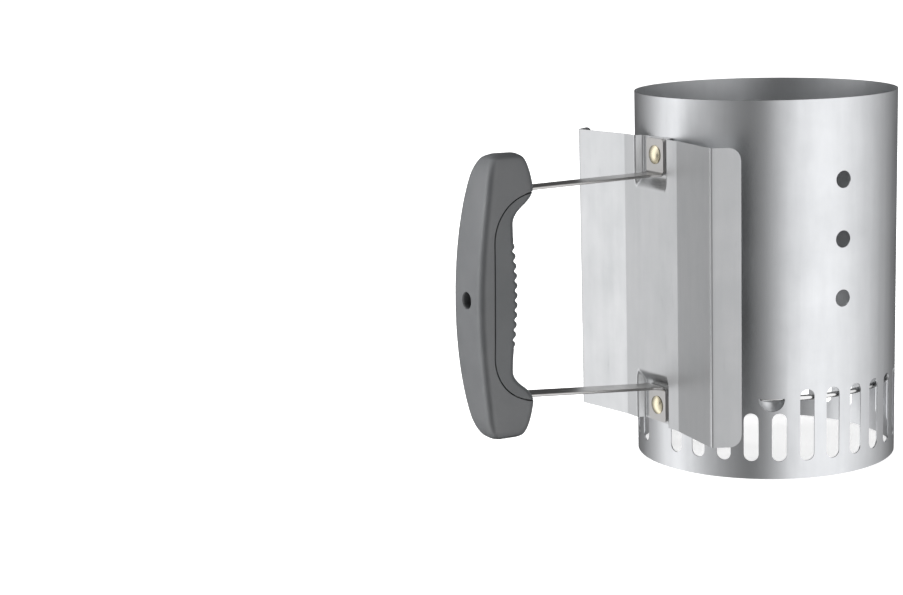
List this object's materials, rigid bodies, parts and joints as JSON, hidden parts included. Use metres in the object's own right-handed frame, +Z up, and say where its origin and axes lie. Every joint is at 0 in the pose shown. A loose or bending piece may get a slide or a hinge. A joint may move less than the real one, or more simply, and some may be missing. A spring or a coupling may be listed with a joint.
{
  "type": "chimney charcoal starter",
  "caption": "Steel chimney charcoal starter: slotted open tube with a lift-out cone wire grate, a bent heat shield and a riveted strap handle with a two-piece grip.",
  "frame": {"origin": "centre of the tube's base, on the plane that it stands on", "axes": "+Z up along the tube's axis, -X from the axis to the handle, +Y to the handle's left seen from the handle side facing the tube"},
  "size_m": [0.2798, 0.153, 0.2145],
  "materials": {
    "tube_steel": "satin aluminised sheet steel",
    "shield_steel": "satin aluminised sheet steel",
    "strap_steel": "zinc-plated flat steel strap",
    "rivet_zinc": "yellow zinc-plated steel rivet",
    "grip_plastic": "fine-textured grey heat-resistant plastic",
    "grip_insert": "dark grey soft-feel plastic with finger ridges",
    "screw_steel": "blackened steel screw",
    "wire_steel": "plated round steel wire"
  },
  "bodies": {
    "starter": {"body_tube": "tube_steel", "heat_shield": "shield_steel", "handle_bracket": "strap_steel", "upper_rivet": "rivet_zinc", "lower_rivet": "rivet_zinc", "grip_outer_shell": "grip_plastic", "grip_inner_insert": "grip_insert", "grip_screw": "screw_steel"},
    "grate": {"grate_base_ring": "wire_steel", "grate_ring_1": "wire_steel", "grate_ring_2": "wire_steel", "grate_ring_3": "wire_steel", "grate_crown_ring": "wire_steel", "grate_rib_1": "wire_steel", "grate_rib_2": "wire_steel", "grate_rib_3": "wire_steel", "grate_rib_4": "wire_steel", "grate_rib_5": "wire_steel", "grate_rib_6": "wire_steel"}
  },
  "joints": [
    {"name": "grate_lift", "type": "slide", "parent": "starter", "child": "grate", "axis": [0, 0, 1], "range_m": [0, 0.18]}
  ]
}
